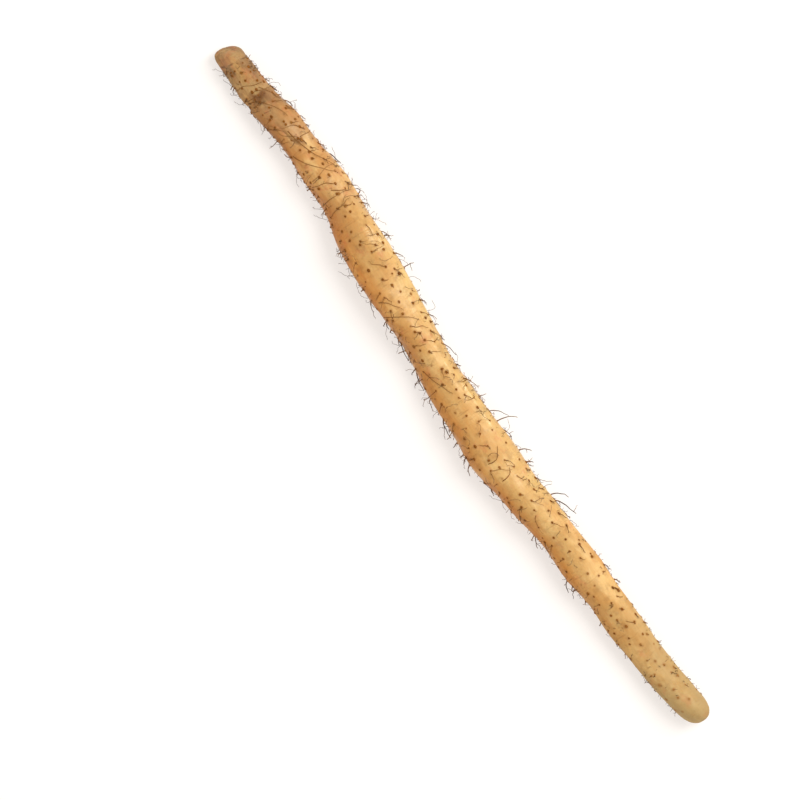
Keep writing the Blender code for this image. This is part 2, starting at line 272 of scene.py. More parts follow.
def round_warts(places, turns):
    """For every point of the skin's grid, how near it is to a wart: 1 on one, falling off as a bell curve
    of the distance over the skin. Each wart only reaches the points of a small window round itself."""
    nearness = np.zeros((len(places), len(turns)))
    wart_place, wart_turn = wart_places()
    window = np.arange(-HALO_ROWS, HALO_ROWS + 1)[None, :, None]
    rows = np.clip(np.searchsorted(places, wart_place)[:, None, None] + window, 0, len(places) - 1)
    columns = np.round(wart_turn / (2 * np.pi) * len(turns)).astype(int)[:, None, None]
    columns = columns + np.arange(-HALO_COLUMNS, HALO_COLUMNS + 1)
    ahead = places[rows] - wart_place[:, None, None]
    aside = columns * 2 * np.pi / len(turns) - wart_turn[:, None, None]
    aside = aside * along(WIDTH, wart_place)[:, None, None] / 2
    reach = spread(HALO_REACH, wart_draws[:, 7])[:, None, None]
    near = np.exp(-(ahead**2 + aside**2) / reach**2)
    rows, columns, near = np.broadcast_arrays(rows, columns % len(turns), near)
    np.maximum.at(nearness, (rows, columns), near)
    return nearness


def new_mesh(name, vertices, faces):
    """A mesh with smooth shading."""
    mesh = bpy.data.meshes.new(name)
    mesh.from_pydata(vertices, [], faces)
    mesh.shade_smooth()
    return mesh


def closed_grid(name, points):
    """A closed surface over a grid of points. The first and last rows are single points: its poles."""
    rows, around = points.shape[0] - 2, points.shape[1]
    vertices = np.concatenate([points[0, :1], points[1:-1].reshape(-1, 3), points[-1, :1]])
    ring = 1 + np.arange(rows * around).reshape(rows, around)
    after = np.roll(ring, -1, axis=1)
    quads = np.stack([ring[:-1], ring[1:], after[1:], after[:-1]], -1).reshape(-1, 4)
    crown = np.stack([np.zeros(around, int), ring[0], after[0]], -1)
    tip = np.stack([np.full(around, len(vertices) - 1), after[-1], ring[-1]], -1)
    return new_mesh(name, vertices, [*crown.tolist(), *quads.tolist(), *tip.tolist()])


def paint(mesh, name, values):
    """Puts one number on each point of a mesh, for its material to read."""
    mesh.attributes.new(name, "FLOAT", "POINT").data.foreach_set("value", values.astype(np.float32).ravel())


def pole_to_pole(values):
    """The numbers of a grid in the order of its mesh's points, with one for each pole."""
    return np.concatenate([values[0, :1], values[1:-1].ravel(), values[-1, :1]])


def within(points, margin):
    """Holds points inside the box of the solid part, a little short of its walls."""
    return np.clip(points, np.array(cad_box[0]) + margin, np.array(cad_box[1]) - margin)


# The skin is creased at the crown: a collar where the callus over the snapped end stops, the fold below the
# neck with a fainter one beside it, another that runs aslant over the top, and fine broken rings.
COLLAR_AT, COLLAR_WANDER, COLLAR_WIDTH = 8.8 * MM, 1.2 * MM, 0.8 * MM
FOLD_WANDER, FOLD_WIDTH = 0.9 * MM, 0.9 * MM
NEXT_FOLD_AFTER, NEXT_FOLD_WIDTH = 3.4 * MM, 0.6 * MM
SLANT_FOLD_AT, SLANT_FOLD_RUN, SLANT_FOLD_WANDER = 63 * MM, 27 * MM, 5 * MM  # run: along the yam per radian
SLANT_FOLD_WIDTH, SLANT_FOLD_TURN, SLANT_FOLD_SPAN = 3.6 * MM, 1.65, 0.5
RING_WIDTH, RINGS_FROM = 0.16, 14 * MM
# Low unevenness: height and step along in millimetres, and the number of steps round the yam.
LUMPS = [(0.20, 9, 9), (0.07, 3.2, 26), (0.05, 34, 52)]
WART_SWELL, CREASE_DIP, SLANT_DIP = 0.26, 0.34, 0.7  # how far these raise or sink the skin, in millimetres

places = skin_places()
turns = np.arange(SKIN_AROUND) * 2 * np.pi / SKIN_AROUND
place, turn = places[:, None], turns[None, :]
fold, fold_share = fold_line(turn)
fold = fold + FOLD_WANDER * uneven(place, turn, 20 * MM, 11)
collar = COLLAR_AT + COLLAR_WANDER * uneven(place, turn, 9 * MM, 9)
near_wart = round_warts(places, turns)
slant = SLANT_FOLD_AT + SLANT_FOLD_RUN * (2.1 - turn) + SLANT_FOLD_WANDER * uneven(place, turn, 14 * MM, 19)
slant = furrow(place - slant, SLANT_FOLD_WIDTH) * furrow(turn - SLANT_FOLD_TURN, SLANT_FOLD_SPAN)
ring_lines = furrow(uneven(place, turn, 3.0 * MM, 7), RING_WIDTH)
ring_lines = ring_lines * np.clip(uneven(place, turn, 24 * MM, 6) + 0.2, 0, 1) * (place > RINGS_FROM)
fold_breaks = np.clip(0.65 + 0.7 * uneven(place, turn, 30 * MM, 17), 0.1, 1)
next_fold = furrow(place - fold - NEXT_FOLD_AFTER, NEXT_FOLD_WIDTH) * (uneven(place, turn, 30 * MM, 8) > -0.2)
collar_breaks = np.clip(0.45 + 1.4 * uneven(place, turn, 30 * MM, 13), 0, 1)
creases = np.maximum.reduce([
    0.95 * fold_share * fold_breaks * furrow(place - fold, FOLD_WIDTH),
    0.55 * fold_share * next_fold,
    collar_breaks * furrow(place - collar, COLLAR_WIDTH),
    (0.35 + 0.4 * rising(place, 98 * MM, 28 * MM)) * ring_lines,
    0.6 * slant,
])
relief = sum(height * uneven(place, turn, step * MM, columns) for height, step, columns in LUMPS)
relief = MM * (relief + WART_SWELL * near_wart - CREASE_DIP * creases - SLANT_DIP * slant)
relief = relief * np.clip(end_rounding(place) * 2.5, 0, 1)

skin_points = skin(place, turn)
skin_points[1:-1] += outward(place[1:-1], turn) * relief[1:-1, :, None]
skin_points[0], skin_points[-1] = skin_points[0].mean(0), skin_points[-1].mean(0)
skin_mesh = closed_grid("yam_skin", within(skin_points, 0))

# What the skin's colour and gloss follow, each 0 to 1. Past a hard edge before the fold, the skin is darker.
# Painted shade darkens the -Y side and the +Y side of the neck. Painted highlight blotches make the +Y side
# paler and yellower along the body. The tip is greener, most on its +Y side, where the green is painted
# shade.
past_edge = place - fold + 8 * MM + 2 * MM * uneven(place, turn, 8 * MM, 15)
fold_dark_patch = rising(past_edge, 0, 1.5 * MM) * furrow(past_edge, 8 * MM) * furrow(turn - 1.6, 0.8)
tip_green_and_shade = rising(place, 440 * MM, 540 * MM) * np.clip(0.25 + 0.85 * np.cos(turn - 0.3), 0, 1)
shade_side_from_to = rising(place, 16 * MM, 56 * MM) * rising(place, 530 * MM, 420 * MM)
highlight_from_to = rising(place, 125 * MM, 170 * MM) * rising(place, 410 * MM, 350 * MM)
skin_marks = {
    "near_wart": near_wart,
    "creases": creases,
    "callus": rising(place - collar, 2 * MM, -2 * MM),
    "fold_dark_patch": np.clip(fold_dark_patch * (1.3 + 0.5 * uneven(place, turn, 5 * MM, 17)), 0, 1),
    "green_tip_and_shade": np.maximum(tip_green_and_shade, 0.6 * rising(place, 470 * MM, 550 * MM)),
    "neck_painted_shade": rising(place, 87.5 * MM, 17.5 * MM) * np.clip(0.3 + 0.8 * np.cos(turn), 0, 1),
    "neck": rising(place, 64 * MM, 24 * MM),
    "painted_shade_side": rising(np.cos(turn), -0.3, -0.8) * shade_side_from_to,
    "young": rising(place, 370 * MM, 450 * MM),
    "painted_highlight_side": np.clip(1.6 * np.cos(turn) - 0.35, 0, 1) * highlight_from_to,
}
for mark, values in skin_marks.items():
    paint(skin_mesh, mark, pole_to_pole(np.broadcast_to(values, near_wart.shape)))


def screen_colour(red, green, blue):
    """A colour given as it looks on a screen, 0 to 255, in the linear values that shaders take."""
    value = np.array([red, green, blue]) / 255
    linear = np.where(value > 0.04045, ((value + 0.055) / 1.055) ** 2.4, value / 12.92)
    return (*linear.tolist(), 1)


def node(tree, kind, inputs=None, **settings):
    """Adds a node to a tree. An input is a value, or the output of another node."""
    made = tree.nodes.new("ShaderNode" + kind)
    for name, value in settings.items():
        setattr(made, name, value)
    for name, value in (inputs or {}).items():
        if isinstance(value, bpy.types.NodeSocket):
            tree.links.new(value, made.inputs[name])
        else:
            made.inputs[name].default_value = value
    return made


def noise(tree, place, gap, detail=2.0, rough=0.5, stretch=(1, 1, 1)):
    """Noise with features about gap metres apart, drawn out where stretch is under 1."""
    scaled = node(tree, "Mapping", {"Vector": place, "Scale": stretch}).outputs[0]
    return node(tree, "TexNoise", {"Vector": scaled, "Scale": 1 / gap, "Detail": detail,
                                   "Roughness": rough}).outputs["Fac"]


def between(tree, value, low, high, start=0.0, end=1.0):
    """start below low, end above high, and a smooth slope between them."""
    return node(tree, "MapRange", {"Value": value, "From Min": low, "From Max": high, "To Min": start,
                                   "To Max": end}, interpolation_type="SMOOTHSTEP").outputs[0]


def blotches(tree, place, gap, low, high, most, least=0.0, detail=3.0, rough=0.6, stretch=(0.5, 1, 1)):
    """Soft-edged blotches about gap metres apart, cut out of noise: most inside them, least outside."""
    return between(tree, noise(tree, place, gap, detail, rough, stretch), low, high, least, most)


def maths(tree, operation, first, second):
    """The sum, product or such of two numbers, either of them a value or an output."""
    return node(tree, "Math", {0: first, 1: second}, operation=operation).outputs[0]


def mixed(tree, share, under, over, mode="MIX"):
    """over laid on under by share, either of them a colour or an output."""
    return node(tree, "MixRGB", {"Fac": share, "Color1": under, "Color2": over}, blend_type=mode).outputs[0]


def attribute(tree, name):
    """The number that was painted on the mesh under this name."""
    return node(tree, "Attribute", attribute_name=name).outputs["Fac"]


def layered(tree, colour, layers):
    """Lays the skin's tones on a colour in turn. Each layer is its share, its tone, and how it is laid."""
    for share, tone, *mode in layers:
        colour = mixed(tree, share, colour, screen_colour(*SKIN_TONES[tone]), *mode)
    return colour


def new_material(name, gloss):
    """A material with its shader, and the object's own coordinates as the place of each point."""
    material = bpy.data.materials.new(name)
    material.use_nodes = True
    tree = material.node_tree
    shader = tree.nodes["Principled BSDF"]
    shader.inputs["Specular IOR Level"].default_value = gloss
    return material, tree, shader, node(tree, "TexCoord").outputs["Object"]


def finish_material(tree, shader, colour, height, strength, distance):
    """Joins the colour to the shader, and the height to its normals as fine relief."""
    tree.links.new(colour, shader.inputs["Base Color"])
    bump = node(tree, "Bump", {"Height": height, "Strength": strength, "Distance": distance})
    tree.links.new(bump.outputs[0], shader.inputs["Normal"])


def soil_stain_group():
    """Soil that has dyed a surface: soft clouds with harder-edged specks in them. It gives the colour."""
    tree = bpy.data.node_groups.new("soil_stain", "ShaderNodeTree")
    for socket, kind in (("Place", "Vector"), ("Clean", "Color"), ("Soil", "Color"), ("Cloud Gap", "Float"),
                         ("Amount", "Float")):
        tree.interface.new_socket(socket, in_out="INPUT", socket_type="NodeSocket" + kind)
    tree.interface.new_socket("Color", in_out="OUTPUT", socket_type="NodeSocketColor")
    inputs = tree.nodes.new("NodeGroupInput").outputs
    scale = maths(tree, "DIVIDE", 1.0, inputs["Cloud Gap"])
    cloud = node(tree, "TexNoise", {"Vector": inputs["Place"], "Scale": scale, "Detail": 4.0,
                                    "Roughness": 0.62}).outputs["Fac"]
    fine = node(tree, "TexNoise", {"Vector": inputs["Place"], "Scale": maths(tree, "MULTIPLY", scale, 9.0),
                                   "Detail": 2.0}).outputs["Fac"]
    speck = maths(tree, "MULTIPLY", between(tree, fine, 0.60, 0.70), 0.35)
    stain = maths(tree, "ADD", between(tree, cloud, 0.46, 0.72), speck)
    stain = maths(tree, "MULTIPLY", stain, inputs["Amount"])
    stained = mixed(tree, stain, inputs["Clean"], inputs["Soil"])
    tree.links.new(stained, tree.nodes.new("NodeGroupOutput").inputs["Color"])
    return tree


soil_stain = soil_stain_group()


def soiled(tree, place, clean, soil, amount, gap):
    """The colour clean with stains of soil on it, in clouds about gap metres apart."""
    return node(tree, "Group", {"Place": place, "Clean": clean, "Soil": screen_colour(*soil),
                                "Amount": amount, "Cloud Gap": gap}, node_tree=soil_stain).outputs["Color"]


# Colours as they look on a screen: first those along the yam, at shares of its length.
SKIN_COLOURS = [(0.02, (132, 105, 74)), (0.12, (150, 114, 70)), (0.19, (167, 125, 75)),
                (0.30, (175, 137, 82)), (0.83, (175, 138, 82)), (0.97, (166, 144, 98))]
SKIN_TONES = {"callus": (150, 121, 82), "warm": (168, 115, 54), "pale": (196, 166, 112),
              # The dry tone is a painted highlight on the +Y side.
              "dry": (183, 157, 100), "pink": (172, 104, 66), "fibre": (168, 112, 56), "ring": (114, 76, 38),
              # The green tone at the tip's +Y side is painted shade as well as the skin's own tint.
              "green": (140, 114, 71), "neck_shade_grey": (226, 218, 206), "streak": (104, 74, 44),
              # The soiled tone is painted shade for the -Y side.
              "soiled": (253, 222, 172), "fold": (98, 58, 30), "halo": (122, 76, 32), "crease": (76, 48, 26)}


def skin_material():
    """Golden tan skin, browner at the neck and greener at the tip, with pale, warm and pink blotches, specks,
    faint fibres and rings, dark folds, a darker patch past the fold, and a brown halo round every wart.
    Painted shade darkens and warms the -Y side and darkens the +Y side of the neck. The tip's green on its +Y
    side is painted shade too, and painted highlight blotches make the +Y side of the body paler. It shines a
    little, but not at the neck, on the fold or towards the young tip."""
    material, tree, shader, place = new_material("yam_skin", gloss=0.42)
    marks = {name: attribute(tree, name) for name in skin_marks}
    lengthwise = node(tree, "SeparateXYZ", {0: place}).outputs["X"]
    share = node(tree, "MapRange", {"Value": lengthwise, "From Min": -MIDDLE[0],
                                    "From Max": LENGTH - MIDDLE[0]}).outputs[0]
    ramp = node(tree, "ValToRGB", {"Fac": share})
    ramp.color_ramp.interpolation = "B_SPLINE"
    for at, colour in SKIN_COLOURS[1:-1]:
        ramp.color_ramp.elements.new(at)
    for element, (at, colour) in zip(ramp.color_ramp.elements, SKIN_COLOURS):
        element.position = at
        element.color = screen_colour(*colour)

    def share_of(mark, most):
        """How strong a mark is, from 0 up to most."""
        return maths(tree, "MULTIPLY", marks[mark], most)

    warm = blotches(tree, place, gap=24 * MM, low=0.42, high=0.66, most=0.55)
    pale = blotches(tree, place, gap=15 * MM, low=0.47, high=0.66, most=0.60, detail=4, stretch=(0.45, 1, 1))
    pale = maths(tree, "MULTIPLY", pale, between(tree, marks["neck"], 0.0, 1.0, 1.0, 0.6))
    # Painted highlight: paler, yellower blotches, laid on the +Y side of the body, where the light falls.
    dry = blotches(tree, place, gap=30 * MM, low=0.38, high=0.60, most=0.75, least=0.15, rough=0.55,
                   stretch=(0.6, 1, 1))
    pink = noise(tree, place, gap=9 * MM, detail=3, rough=0.6, stretch=(0.8, 1, 1))
    pink = maths(tree, "ADD", pink, share_of("neck", 0.07))
    colour = layered(tree, ramp.outputs["Color"], [
        (share_of("callus", 0.6), "callus"),
        (warm, "warm"),
        (pale, "pale"),
        (share_of("painted_highlight_side", dry), "dry"),
        (between(tree, pink, 0.56, 0.74, 0, 0.5), "pink"),
    ])
    colour = soiled(tree, place, clean=colour, soil=(118, 84, 40), amount=0.36, gap=6 * MM)
    fibre = noise(tree, place, gap=1.1 * MM, detail=3, rough=0.6, stretch=(0.12, 1, 1))
    rings = noise(tree, place, gap=1.3 * MM, stretch=(1, 0.16, 0.16))
    ringed = between(tree, noise(tree, place, gap=24 * MM, detail=1), 0.42, 0.62)
    streak = blotches(tree, place, gap=4 * MM, low=0.48, high=0.66, most=0.5, rough=0.65, stretch=(0.3, 1, 1))
    colour = layered(tree, colour, [
        (between(tree, fibre, 0.35, 0.75, 0, 0.1), "fibre", "MULTIPLY"),
        (maths(tree, "MULTIPLY", between(tree, rings, 0.58, 0.70, 0, 0.3), ringed), "ring"),
        # The tip is greener all round. On its +Y side the green is also painted shade.
        (share_of("green_tip_and_shade", 0.85), "green"),
        # Painted shade: a grey multiply darkens the neck, most on its +Y side.
        (marks["neck_painted_shade"], "neck_shade_grey", "MULTIPLY"),
        (share_of("neck", streak), "streak"),
        # Painted shade: the soiled tone darkens and warms the -Y side, away from the light.
        (marks["painted_shade_side"], "soiled", "MULTIPLY"),
        # The skin is darker past a hard edge before the fold.
        (share_of("fold_dark_patch", 0.85), "fold"),
        (between(tree, marks["near_wart"], 0.2, 1.0, 0, 0.6), "halo"),
        (between(tree, marks["creases"], 0.15, 0.9, 0, 0.7), "crease"),
    ])

    rough = blotches(tree, place, gap=12 * MM, low=0.40, high=0.60, most=0.50, least=0.28)
    for matt in (between(tree, fibre, 0.3, 0.7, 0, 0.08), share_of("neck", 0.32), share_of("young", 0.25),
                 share_of("fold_dark_patch", 0.3)):
        rough = maths(tree, "ADD", rough, matt)
    tree.links.new(rough, shader.inputs["Roughness"])
    pores = noise(tree, place, gap=0.7 * MM, detail=3, rough=0.6)
    height = maths(tree, "ADD", maths(tree, "MULTIPLY", fibre, 0.3), maths(tree, "MULTIPLY", pores, 0.4))
    sunk_rings = maths(tree, "MULTIPLY", between(tree, rings, 0.5, 0.72), 0.4)
    height = maths(tree, "SUBTRACT", height, sunk_rings)
    finish_material(tree, shader, colour, height, strength=0.4, distance=0.3 * MM)
    shader.inputs["Specular Tint"].default_value = (1.0, 0.94, 0.76, 1)
    shader.inputs["Subsurface Weight"].default_value = 0.12
    shader.inputs["Subsurface Radius"].default_value = (1.0, 0.5, 0.2)
    shader.inputs["Subsurface Scale"].default_value = 2.0 * MM
    return material


def show(name, mesh, material):
    """Makes a finished mesh a piece of the yam."""
    mesh.materials.append(material)
    piece = bpy.data.objects.new(name, mesh)
    bpy.context.scene.collection.objects.link(piece)
    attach(piece, "root")
    return piece


yam = show("yam_skin", skin_mesh, skin_material())
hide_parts("yam")


# Every wart is a plug of cork that the skin pushes out where a rootlet breaks through it: a low craggy
# crater, dark brown, a little longer one way than the other. Each is a stack of uneven rings. None are made
# where the yam all but touches the floor.

WART_RADIUS = 0.78 * MM
WART_HEIGHT = 0.55 * MM
WART_SIDES = 8
# The crater's rings from foot to rim and down inside, as shares of its radius and of its height.
WART_PROFILE = [(0.85, -0.9), (1.12, -0.15), (0.98, 0.42), (0.70, 0.92), (0.36, 0.78)]
WART_CENTRE = 0.35  # share of its height, at the bottom of the crater
WART_SIZES = (0.66, 1.26)
WART_LONGER, CRAGGY, RIM_HEIGHTS = 0.35, 0.22, (0.8, 1.2)
WART_LEAST_HEIGHT = 1.3 * MM
# Towards the tip they are young: smaller, paler, and still under the skin.
YOUNG_FROM, YOUNG_TO, YOUNG_SMALLER = 470 * MM, 520 * MM, 0.25
DULL = 0.08  # the gloss of cork and dry root


def stacks_mesh(name, rings, first, last):
    """One mesh of many closed stacks: rings is stack by ring by side, first and last are their poles."""
    stacks, count, sides = rings.shape[:3]
    size = count * sides + 2
    vertices = np.concatenate([rings.reshape(stacks, -1, 3), first[:, None], last[:, None]], 1)
    ring = np.arange(count * sides).reshape(count, sides)
    after = np.roll(ring, -1, axis=1)
    quads = np.stack([ring[:-1], after[:-1], after[1:], ring[1:]], -1).reshape(-1, 4)
    bottom = np.stack([np.full(sides, size - 2), after[0], ring[0]], -1)
    top = np.stack([np.full(sides, size - 1), ring[-1], after[-1]], -1)
    start = (np.arange(stacks) * size)[:, None, None]
    return new_mesh(name, vertices.reshape(-1, 3), [*(quads + start).reshape(-1, 4).tolist(),
                                                    *(bottom + start).reshape(-1, 3).tolist(),
                                                    *(top + start).reshape(-1, 3).tolist()])


def wart_mesh():
    """Warts as stacks of rings round their outward directions. Each ring's points stray from a circle, and
    each wart is stretched one way. Two poles close it: one under the skin, one in the crater."""
    place, turn = wart_places()
    foot, up = skin(place, turn), outward(place, turn)
    shown = foot[:, 2] > WART_LEAST_HEIGHT
    foot, up, draws = foot[shown], up[shown], wart_draws[shown]
    young = rising(place[shown], YOUNG_FROM, YOUNG_TO)
    ahead = np.cross(np.array([0.0, 1.0, 0.0]), up)
    ahead = np.where(np.linalg.norm(ahead, axis=1, keepdims=True) < 0.3, np.array([1.0, 0.0, 0.0]), ahead)
    ahead = ahead - up * (ahead * up).sum(1, keepdims=True)
    ahead /= np.linalg.norm(ahead, axis=1, keepdims=True)
    aside = np.cross(up, ahead)
    size = (spread(WART_SIZES, draws[:, 7]) * (1 - YOUNG_SMALLER * young))[:, None, None]
    angle = np.arange(WART_SIDES) * 2 * np.pi / WART_SIDES + 2 * np.pi * draws[:, 8][:, None, None]
    share, rise = np.array(WART_PROFILE).T
    craggy = 1 + CRAGGY * (2 * weather.random((len(foot), len(share), WART_SIDES)) - 1)
    radius = WART_RADIUS * size * share[None, :, None] * craggy
    longer = (1 + WART_LONGER * draws[:, 6])[:, None, None]
    height = WART_HEIGHT * size * rise[None, :, None] * spread(RIM_HEIGHTS, weather.random(craggy.shape))
    rings = (foot[:, None, None] + ahead[:, None, None] * (radius * longer * np.cos(angle))[..., None]
             + aside[:, None, None] * (radius * np.sin(angle))[..., None]
             + up[:, None, None] * height[..., None])
    under = foot - up * WART_HEIGHT
    crater = foot + up * WART_HEIGHT * WART_CENTRE
    mesh = stacks_mesh("warts", within(rings, 0), under, within(crater, 0))
    tone = 0.85 * weather.random(len(foot)) * (1 - young) + young
    paint(mesh, "tone", np.repeat(tone, len(mesh.vertices) // len(foot)))
    return mesh


def cork_material():
    """Dark brown cork: crumbly, stained with soil, and paler on the young warts that skin still covers."""
    material, tree, shader, place = new_material("cork", DULL)
    shader.inputs["Roughness"].default_value = 0.85
    crumb = noise(tree, place, gap=0.5 * MM, detail=3, rough=0.6)
    dark, light = screen_colour(98, 55, 14), screen_colour(136, 86, 32)
    colour = mixed(tree, between(tree, crumb, 0.35, 0.68), dark, light)
    colour = soiled(tree, place, clean=colour, soil=(66, 40, 15), amount=0.55, gap=4 * MM)
    covered = between(tree, attribute(tree, "tone"), 0.6, 1.0, 0, 0.75)
    colour = mixed(tree, covered, colour, screen_colour(148, 108, 58))
    finish_material(tree, shader, colour, crumb, strength=0.8, distance=0.3 * MM)
    return material


show("warts", wart_mesh(), cork_material())


# The rootlets are the yam's feeding roots: tough, wiry, brown, half a millimetre thick. A little over half
# of the warts still have one. They are tapered tubes that lean over and down the sides and curl, and they
# are mere stubs at the young tip.

BARE_SHARE = 0.45  # of the warts
# Millimetres from the crown, and the longest there.
ROOTLET_LONGEST = [(0, 8), (50, 10), (95, 12), (180, 14), (260, 18), (385, 17), (430, 10), (480, 6.5),
                   (530, 4.5), (560, 3)]
ROOTLET_LEAST = 0.2  # the shortest, as a share of the longest at that place
WORN_ON_TOP = 0.45  # how much shorter those on top have been worn than those at the sides
MOSTLY_SHORT = 2.0  # the power that makes most of them short and few long
ROOTLET_RADII = (0.12 * MM, 0.26 * MM)  # at its tip and at its root
STOUTNESS = (0.75, 1.25)  # the thinnest and the stoutest, as shares of that
STOUTER_AT_SIDES = 0.7  # how much thicker they are at the sides than on top
LEAN_RIGHT, LEAN_LEFT = -0.65, 1.3  # which way they lean over, in radians from the tip: down on either side
LEAN_DIVIDE = -0.37
# Over this stretch the way they lean turns nearer to straight ahead, down to this share of its angle.
LEAN_AHEAD, LEAN_AHEAD_SHARE = (230 * MM, 380 * MM), 0.45
LEAN_SPREAD = 1.4
CURL = 0.9  # how far, in radians, the way it leans may drift along it
LAID_OVER = 0.6  # how much less those on top stand up than those at the sides
STRAIGHTEST, LEAST_RISE = 0.95, 0.15
RISE_AT_ROOT, DROOP = 1.15, 0.35  # how fast it rises at first, and how much less towards its tip
LEAN_GROWTH = 1.4  # the power by which its lean grows along it
ROOT_SUNK = 1.2 * MM
FLOOR_GAP = 0.7 * MM
TIP_CLEAR = 4 * MM
ROOTLET_KINK, KINK_WAVES, KINK_GROWTH = 0.35 * MM, (1.2, 2.5), 1.7
DRY_FROM = 9 * MM  # this far out roots have dried from brown to grey
ROOTLET_DRYNESS = (0.2, 1.4)  # on top and at the sides
ROOTLET_POINTS, ROOTLET_SIDES = 13, 5
BOX_MARGIN = 0.3 * MM  # how far the middle of a root keeps from the walls of the solid's box


def rootlet_course(place, turn, draws, shares):
    """The line of each rootlet over the skin: how far along it is, how far round, and how high above the
    skin, at shares 0 to 1 of its length. It rises as it leans over, and its bearing drifts as it curls."""
    length = spread((ROOTLET_LEAST, 1), draws[:, 3, None], MOSTLY_SHORT)
    length = length * along(ROOTLET_LONGEST, place)[:, None]
    on_top = np.clip(np.sin(turn), 0, 1)
    length = length * (1 - WORN_ON_TOP * on_top**2)[:, None]
    stand = (draws[:, 4] * (1 - LAID_OVER * on_top))[:, None]
    lean = length * np.sqrt(1 - (STRAIGHTEST * stand) ** 2) * shares**LEAN_GROWTH
    bearing = np.where(np.cos(turn) < LEAN_DIVIDE, LEAN_LEFT, LEAN_RIGHT)
    bearing = bearing * np.interp(place, LEAN_AHEAD, (1, LEAN_AHEAD_SHARE))
    bearing = (bearing + LEAN_SPREAD * (2 * draws[:, 5] - 1) ** 3)[:, None]
    bearing = bearing + CURL * (draws[:, 6, None] - 0.5) * shares
    rise = length * spread((LEAST_RISE, 1), stand) * shares * (RISE_AT_ROOT - DROOP * shares)
    girth = along(WIDTH, place)[:, None] / 2
    here = np.clip(place[:, None] + lean * np.cos(bearing), WART_BARE_CROWN, LENGTH - TIP_CLEAR)
    return here, turn[:, None] + lean * np.sin(bearing) / (girth + rise), rise


def off_skin(place, turn, rise):
    """Points at a height above the skin. What would go below the floor is turned aside along it."""
    points = skin(place, turn) + outward(place, turn) * rise[..., None]
    below = np.clip(FLOOR_GAP - points[..., 2], 0, None)
    points[..., 1] += np.sign(np.cos(turn[..., :1])) * below
    points[..., 2] += below
    return points


def kink(lines, size):
    """Small bends that grow towards the tip: a sine wave in each direction of space along each line, from
    random phases."""
    share = np.linspace(0, 1, lines.shape[1])[None, :, None]
    waves = spread(KINK_WAVES, weather.random((len(lines), 1, 3)))
    wave = np.sin(2 * np.pi * (share * waves + weather.random((len(lines), 1, 3))))
    return lines + size * share**KINK_GROWTH * wave


def tubes_mesh(name, lines, radii, sides, exposed=1, margin=BOX_MARGIN):
    """Tapered tubes round many lines: lines is line by point, radii the same. Each ring stands square to its
    line, on a side direction that starts square to the whole line's run. The more exposed a line is, the
    drier it is painted."""
    lines = within(lines, margin)
    run = lines[:, -1] - lines[:, 0]
    run /= np.linalg.norm(run, axis=1, keepdims=True)
    helper = np.where(np.abs(run[:, :1]) < 0.8, np.array([1.0, 0.0, 0.0]), np.array([0.0, 1.0, 0.0]))
    first = np.cross(run, helper)[:, None]
    ahead = np.gradient(lines, axis=1)
    ahead /= np.linalg.norm(ahead, axis=2, keepdims=True)
    side = first - ahead * (first * ahead).sum(2, keepdims=True)
    side /= np.linalg.norm(side, axis=2, keepdims=True)
    other = np.cross(ahead, side)
    angle = np.arange(sides) * 2 * np.pi / sides
    rings = (lines[:, :, None] + radii[:, :, None, None] * (side[:, :, None] * np.cos(angle)[:, None]
                                                            + other[:, :, None] * np.sin(angle)[:, None]))
    ends = lines[:, -1] + ahead[:, -1] * radii[:, -1:]
    mesh = stacks_mesh(name, rings, lines[:, 0], ends)
    steps = np.linalg.norm(np.diff(lines, axis=1), axis=2)
    dry = np.concatenate([np.zeros((len(lines), 1)), np.cumsum(steps, 1)], 1) / DRY_FROM * exposed
    dry = np.concatenate([np.repeat(dry, sides, 1), dry[:, :1], dry[:, -1:]], 1)
    paint(mesh, "dry", np.clip(dry, 0, 1))
    paint(mesh, "tone", np.repeat(weather.random(len(lines))[:, None], dry.shape[1], 1))
    return mesh


def root_material(name, near, far):
    """Dry root: one brown near the skin, another far out, each root a little lighter or darker."""
    material, tree, shader, place = new_material(name, DULL)
    shader.inputs["Roughness"].default_value = 0.75
    colour = mixed(tree, attribute(tree, "dry"), screen_colour(*near), screen_colour(*far))
    lighter = between(tree, attribute(tree, "tone"), 0.4, 1.0, 0, 0.5)
    colour = mixed(tree, lighter, colour, screen_colour(136, 98, 56))
    colour = soiled(tree, place, clean=colour, soil=(58, 38, 20), amount=0.4, gap=3 * MM)
    finish_material(tree, shader, colour, noise(tree, place, gap=0.3 * MM), strength=0.6, distance=0.1 * MM)
    return material


wart_place, wart_turn = wart_places()
rooted = (wart_draws[:, 2] >= BARE_SHARE) & (skin(wart_place, wart_turn)[:, 2] > WART_LEAST_HEIGHT)
rooted_place, rooted_turn, rooted_draws = wart_place[rooted], wart_turn[rooted], wart_draws[rooted]
shares = np.linspace(0, 1, ROOTLET_POINTS)[None, :]
rootlet_here, rootlet_turned, rootlet_rise = rootlet_course(rooted_place, rooted_turn, rooted_draws, shares)
rootlet_lines = kink(off_skin(rootlet_here, rootlet_turned, rootlet_rise), ROOTLET_KINK)
roots = skin(rooted_place, rooted_turn) - outward(rooted_place, rooted_turn) * ROOT_SUNK
rootlet_lines = np.concatenate([roots[:, None], rootlet_lines], 1)
taper = np.concatenate([[1.0], np.linspace(1, 0, ROOTLET_POINTS)])[None, :]
rootlet_radii = spread(ROOTLET_RADII, taper) * spread(STOUTNESS, rooted_draws[:, 7, None])
rootlet_radii = rootlet_radii * (1 + STOUTER_AT_SIDES * np.cos(rooted_turn[:, None]) ** 2)
dryness = spread(ROOTLET_DRYNESS, np.cos(rooted_turn[:, None]) ** 4)
rootlet_mesh = tubes_mesh("rootlets", rootlet_lines, rootlet_radii, ROOTLET_SIDES, dryness)
